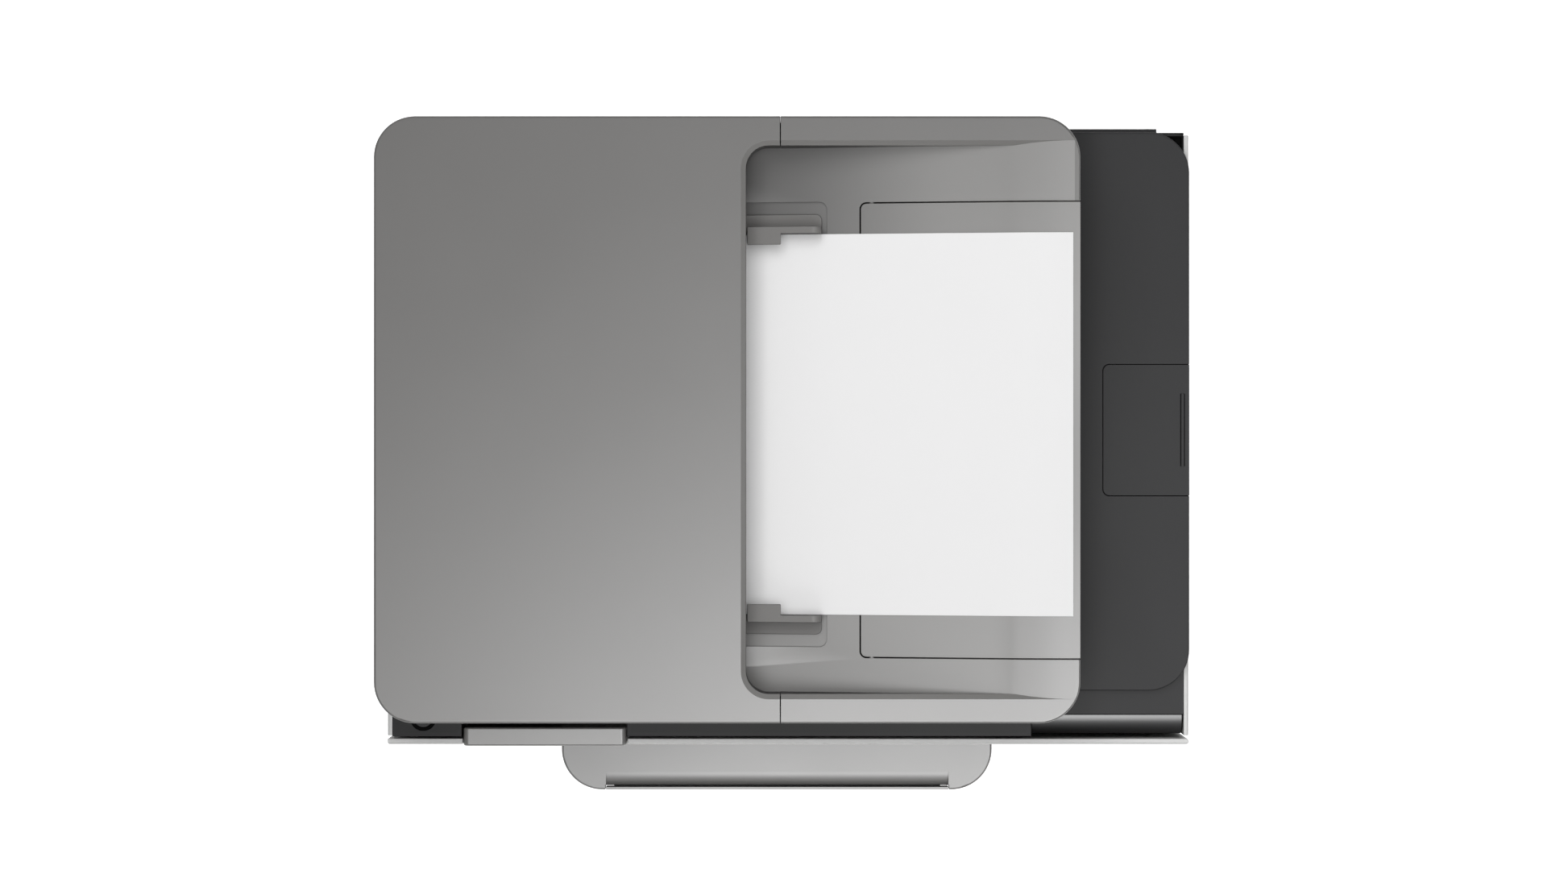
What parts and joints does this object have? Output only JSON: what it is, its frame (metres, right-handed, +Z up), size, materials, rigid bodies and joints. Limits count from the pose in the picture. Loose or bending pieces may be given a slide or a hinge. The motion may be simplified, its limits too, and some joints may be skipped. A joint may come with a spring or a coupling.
{
  "type": "inkjet printer",
  "caption": "Desktop ink-jet printer with a hinged scanner lid, a sheet feeder with a sloping input tray, a front paper tray, an output tray, a tilting panel and a hinged front door.",
  "frame": {"origin": "centre of the bounding box on the surface the printer stands on", "axes": "+X to the printer's right seen from the front, +Y to its rear, +Z up"},
  "size_m": [0.4534, 0.3842, 0.2789],
  "materials": {
    "lid_shell": "fine grained warm light grey moulded plastic",
    "flap_shell": "smoother light grey moulded plastic",
    "dark_shell": "fine grained charcoal moulded plastic",
    "inner_black": "black moulded plastic",
    "pale_panel": "satin light grey moulded plastic",
    "tray_grey": "satin mid grey moulded plastic",
    "panel_grey": "satin grey moulded plastic",
    "gloss_black": "polished black plastic",
    "screen": "dark glass-like touch surface",
    "window": "clear float glass",
    "white_pad": "white foam-backed sheet",
    "paper": "plain white office paper",
    "steel": "bright zinc-plated steel",
    "rubber": "black rubber",
    "roller_axle": "grey moulded plastic",
    "sockets": "black socket plastic",
    "board": "green solder mask",
    "supply": "plated steel case",
    "ink_black": "black cartridge",
    "ink_cyan": "black cartridge with a blue label area",
    "ink_magenta": "cartridge with a magenta label area",
    "ink_yellow": "cartridge with a yellow label area"
  },
  "bodies": {
    "base": {"base_chassis": "inner_black", "rubber_feet": "rubber", "left_side_panel": "pale_panel", "right_side_panel": "pale_panel", "front_fascia": "pale_panel", "front_usb_port": "sockets", "rear_cover": "dark_shell", "rear_screws": "steel", "upper_housing": "dark_shell", "gloss_trim": "gloss_black", "document_deck": "dark_shell", "output_tray": "tray_grey", "power_inlet": "sockets", "interface_ports": "sockets", "main_board": "board", "power_supply": "supply", "mech_frame": "steel", "carriage_rod": "steel", "platen": "inner_black", "service_station": "inner_black", "carriage_belt": "rubber", "carriage_motor": "steel", "scanner_base": "lid_shell", "scanner_glass": "window", "adf_glass_strip": "window", "scan_rail": "steel", "lid_hinge_brackets": "steel"},
    "lid": {"lid_base": "lid_shell", "lid_backing_pad": "white_pad", "adf_frame": "inner_black", "adf_tray": "lid_shell", "document_sheets": "paper"},
    "control_panel": {"control_panel": "panel_grey", "touch_screen": "screen"},
    "document_flap": {"document_flap": "dark_shell"},
    "front_door": {"front_door": "pale_panel"},
    "power_button": {"power_button": "gloss_black"},
    "input_tray": {"input_tray": "pale_panel"},
    "tray_guide_left": {"tray_guide_left": "inner_black"},
    "tray_guide_right": {"tray_guide_right": "inner_black"},
    "tray_guide_length": {"tray_guide_length": "inner_black"},
    "output_extension": {"output_extension": "inner_black"},
    "paper_stop": {"paper_stop": "tray_grey"},
    "rear_door": {"rear_door": "dark_shell"},
    "feed_roller": {"feed_roller": "rubber"},
    "exit_roller": {"exit_roller": "roller_axle"},
    "drive_pulley": {"drive_pulley": "roller_axle"},
    "print_carriage": {"print_carriage": "inner_black"},
    "ink_cartridge_black": {"ink_cartridge_black": "ink_black"},
    "ink_cartridge_cyan": {"ink_cartridge_cyan": "ink_cyan"},
    "ink_cartridge_magenta": {"ink_cartridge_magenta": "ink_magenta"},
    "ink_cartridge_yellow": {"ink_cartridge_yellow": "ink_yellow"},
    "scan_carriage": {"scan_carriage": "inner_black"},
    "tray_flap": {"tray_flap": "flap_shell"},
    "adf_guide_front": {"adf_guide_front": "lid_shell"},
    "adf_guide_rear": {"adf_guide_rear": "lid_shell"},
    "adf_pick_arm": {"adf_pick_arm": "inner_black"},
    "adf_pick_roller": {"adf_pick_roller": "rubber"},
    "adf_feed_shaft": {"adf_feed_shaft": "roller_axle"},
    "adf_cover": {"adf_cover": "lid_shell"}
  },
  "joints": [
    {"name": "lid_hinge", "type": "hinge", "parent": "base", "child": "lid", "pos_m": [-0.028, 0.1888, 0.2248], "axis": [-1, 0, 0], "range_deg": [0, 75]},
    {"name": "adf_cover_hinge", "type": "hinge", "parent": "lid", "child": "adf_cover", "pos_m": [-0.2215, 0.0235, 0.24], "axis": [0, -1, 0], "range_deg": [0, 70]},
    {"name": "tray_flap_hinge", "type": "hinge", "parent": "lid", "child": "tray_flap", "pos_m": [0.0461, 0.0203, 0.2578], "axis": [0, -1, 0], "range_deg": [0, 40], "deforming": ["document_sheets"]},
    {"name": "adf_guide_front_slide", "type": "slide", "parent": "lid", "child": "adf_guide_front", "axis": [0, 1, 0], "range_m": [-0.003, 0.05], "deforming": ["document_sheets"]},
    {"name": "adf_guide_rear_slide", "type": "slide", "parent": "lid", "child": "adf_guide_rear", "axis": [0, 1, 0], "range_m": [-0.05, 0.003]},
    {"name": "adf_pick_arm_lift", "type": "hinge", "parent": "lid", "child": "adf_pick_arm", "pos_m": [-0.187, 0.0235, 0.252], "axis": [0, -1, 0], "range_deg": [0, 8]},
    {"name": "adf_pick_roller_spin", "type": "hinge", "parent": "adf_pick_arm", "child": "adf_pick_roller", "pos_m": [-0.121, 0.0235, 0.2522], "axis": [0, 1, 0], "continuous": true},
    {"name": "adf_feed_shaft_spin", "type": "hinge", "parent": "lid", "child": "adf_feed_shaft", "pos_m": [-0.187, 0.0235, 0.252], "axis": [0, 1, 0], "continuous": true},
    {"name": "document_flap_hinge", "type": "hinge", "parent": "base", "child": "document_flap", "pos_m": [0.1826, 0.0205, 0.1964], "axis": [0, -1, 0], "range_deg": [0, 100]},
    {"name": "front_door_hinge", "type": "hinge", "parent": "base", "child": "front_door", "pos_m": [0.068, -0.1558, 0.1166], "axis": [1, 0, 0], "range_deg": [0, 88]},
    {"name": "control_panel_tilt", "type": "hinge", "parent": "base", "child": "control_panel", "pos_m": [-0.13775, -0.15305, 0.18875], "axis": [-1, 0, 0], "range_deg": [0, 60]},
    {"name": "power_button_press", "type": "slide", "parent": "base", "child": "power_button", "axis": [0, 0, -1], "range_m": [0, 0.0015], "stiffness_N_per_m": 300, "springref_m": -0.002},
    {"name": "input_tray_slide", "type": "slide", "parent": "base", "child": "input_tray", "axis": [0, -1, 0], "range_m": [0, 0.26]},
    {"name": "tray_guide_left_slide", "type": "slide", "parent": "input_tray", "child": "tray_guide_left", "axis": [1, 0, 0], "range_m": [-0.003, 0.045]},
    {"name": "tray_guide_right_slide", "type": "slide", "parent": "input_tray", "child": "tray_guide_right", "axis": [1, 0, 0], "range_m": [-0.045, 0.003]},
    {"name": "tray_guide_length_slide", "type": "slide", "parent": "input_tray", "child": "tray_guide_length", "axis": [0, 1, 0], "range_m": [-0.01, 0.09]},
    {"name": "output_extension_slide", "type": "slide", "parent": "base", "child": "output_extension", "axis": [0, -1, 0], "range_m": [0, 0.1]},
    {"name": "paper_stop_tilt", "type": "hinge", "parent": "output_extension", "child": "paper_stop", "pos_m": [-0.0064, -0.19135, 0.06735], "axis": [1, 0, 0], "range_deg": [0, 80]},
    {"name": "rear_door_hinge", "type": "hinge", "parent": "base", "child": "rear_door", "pos_m": [0, 0.1894, 0.0416], "axis": [-1, 0, 0], "range_deg": [0, 85]},
    {"name": "carriage_slide", "type": "slide", "parent": "base", "child": "print_carriage", "axis": [-1, 0, 0], "range_m": [0, 0.29]},
    {"name": "drive_pulley_spin", "type": "hinge", "parent": "base", "child": "drive_pulley", "pos_m": [0.195, 0.046, 0.14], "axis": [0, 1, 0], "continuous": true},
    {"name": "black_cartridge_slide", "type": "slide", "parent": "print_carriage", "child": "ink_cartridge_black", "axis": [0, -1, 0], "range_m": [0, 0.065]},
    {"name": "cyan_cartridge_slide", "type": "slide", "parent": "print_carriage", "child": "ink_cartridge_cyan", "axis": [0, -1, 0], "range_m": [0, 0.065]},
    {"name": "magenta_cartridge_slide", "type": "slide", "parent": "print_carriage", "child": "ink_cartridge_magenta", "axis": [0, -1, 0], "range_m": [0, 0.065]},
    {"name": "yellow_cartridge_slide", "type": "slide", "parent": "print_carriage", "child": "ink_cartridge_yellow", "axis": [0, -1, 0], "range_m": [0, 0.065]},
    {"name": "scan_carriage_slide", "type": "slide", "parent": "base", "child": "scan_carriage", "axis": [1, 0, 0], "range_m": [0, 0.31]},
    {"name": "feed_roller_spin", "type": "hinge", "parent": "base", "child": "feed_roller", "pos_m": [0, 0.03, 0.088], "axis": [1, 0, 0], "continuous": true},
    {"name": "exit_roller_spin", "type": "hinge", "parent": "base", "child": "exit_roller", "pos_m": [0, -0.048, 0.086], "axis": [1, 0, 0], "continuous": true}
  ],
  "couplings": [
    {"joint": "adf_guide_rear_slide", "follows": "adf_guide_front_slide", "ratio": -1},
    {"joint": "tray_guide_right_slide", "follows": "tray_guide_left_slide", "ratio": -1},
    {"joint": "adf_pick_roller_spin", "follows": "adf_feed_shaft_spin", "ratio": 1},
    {"joint": "exit_roller_spin", "follows": "feed_roller_spin", "ratio": 1.3077},
    {"joint": "drive_pulley_spin", "follows": "carriage_slide", "rad_per_m": 117.65}
  ]
}
